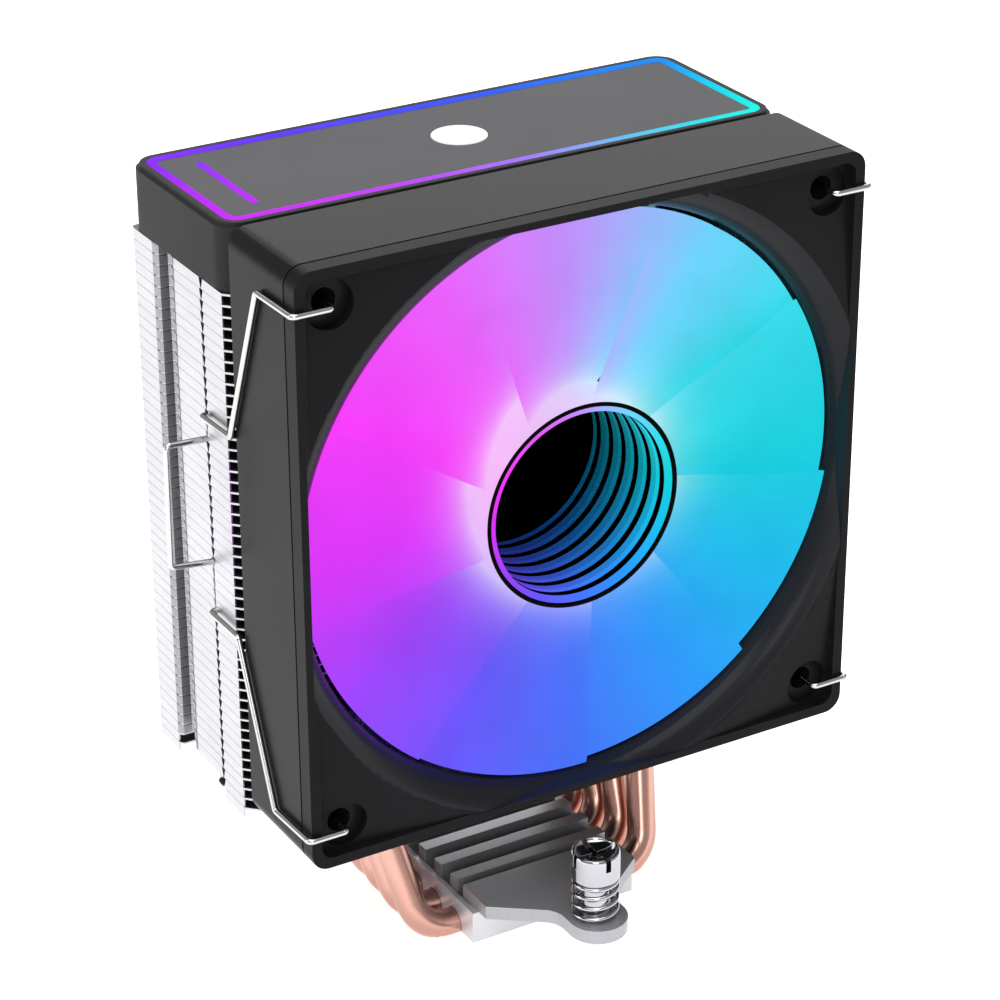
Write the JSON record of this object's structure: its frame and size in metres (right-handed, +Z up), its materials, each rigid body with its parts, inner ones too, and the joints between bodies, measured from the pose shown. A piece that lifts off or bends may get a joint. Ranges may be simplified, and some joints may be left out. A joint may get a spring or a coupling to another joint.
{
  "type": "CPU tower cooler",
  "caption": "Tower cooler for a computer processor: contact base, U-shaped copper heat pipes, aluminium fin tower under a lit cover, and a clip-on 120 mm lit fan.",
  "frame": {"origin": "centre of the contact face under the base, where the cooler meets the processor", "axes": "+Z up from the processor through the tower, the fan faces -Y and blows towards +Y, +X to the right seen from the fan side"},
  "size_m": [0.1372, 0.0844, 0.157],
  "materials": {
    "base_aluminium": "fine milled",
    "plate_aluminium": "satin milled",
    "copper_pipe": "satin copper",
    "screw_chrome": "polished",
    "spring_steel": "polished wire",
    "dark_steel": "oiled",
    "fin_aluminium": "rolled sheet",
    "cover_plastic": "fine matte",
    "cover_plate": "satin grey",
    "cover_light": "frosted, lit",
    "circuit_board": "solder mask",
    "emblem": "satin",
    "bezel_plastic": "satin moulded",
    "housing_plastic": "moulded",
    "pad_rubber": "soft",
    "tube_brass": "turned",
    "bearing_steel": "ground",
    "core_steel": "laminated",
    "enamelled_wire": "enamelled",
    "shaft_steel": "ground",
    "yoke_steel": "pressed",
    "magnet": "bonded ferrite",
    "blade_plastic": "frosted, lit from inside",
    "mirror": "mirror",
    "hub_light": "frosted, lit",
    "lens": "half-silvered",
    "clip_wire": "bright drawn wire"
  },
  "bodies": {
    "cooler": {"base_block": "base_aluminium", "mounting_plate": "plate_aluminium", "heat_pipe_1": "copper_pipe", "heat_pipe_2": "copper_pipe", "heat_pipe_3": "copper_pipe", "heat_pipe_4": "copper_pipe", "lowest_fins": "fin_aluminium", "cooling_fins": "fin_aluminium", "cover_shell": "cover_plastic", "cover_top_plate": "cover_plate", "cover_light_ring": "cover_light", "cover_led_board": "circuit_board", "cover_emblem": "emblem", "fan_bezel": "bezel_plastic", "fan_housing": "housing_plastic", "vibration_pads": "pad_rubber", "motor_board": "circuit_board", "bearing_tube": "tube_brass", "bearings": "bearing_steel", "stator_core": "core_steel", "windings": "enamelled_wire", "fan_clip_left": "clip_wire", "fan_clip_right": "clip_wire"},
    "rotor": {"shaft": "shaft_steel", "rotor_yoke": "yoke_steel", "magnet_ring": "magnet", "impeller": "blade_plastic", "hub_led_board": "circuit_board", "hub_mirror": "mirror", "hub_light_ring": "hub_light", "hub_lens": "lens"},
    "front_slide": {"front_retainer": "dark_steel", "front_spring": "spring_steel"},
    "front_screw": {"front_screw": "screw_chrome"},
    "rear_slide": {"rear_retainer": "dark_steel", "rear_spring": "spring_steel"},
    "rear_screw": {"rear_screw": "screw_chrome"}
  },
  "joints": [
    {"name": "rotor_spin", "type": "hinge", "parent": "cooler", "child": "rotor", "pos_m": [0, 0, 0.097], "axis": [0, 1, 0], "continuous": true},
    {"name": "front_screw_press", "type": "slide", "parent": "cooler", "child": "front_slide", "axis": [0, 0, 1], "range_m": [-0.0035, 0], "stiffness_N_per_m": 2000, "springref_m": 0.0004, "deforming": ["front_spring"]},
    {"name": "front_screw_turn", "type": "hinge", "parent": "front_slide", "child": "front_screw", "pos_m": [0, -0.0353, 0], "axis": [0, 0, 1], "continuous": true},
    {"name": "rear_screw_press", "type": "slide", "parent": "cooler", "child": "rear_slide", "axis": [0, 0, 1], "range_m": [-0.0035, 0], "stiffness_N_per_m": 2000, "springref_m": 0.0004, "deforming": ["rear_spring"]},
    {"name": "rear_screw_turn", "type": "hinge", "parent": "rear_slide", "child": "rear_screw", "pos_m": [0, 0.0353, 0], "axis": [0, 0, 1], "continuous": true}
  ]
}
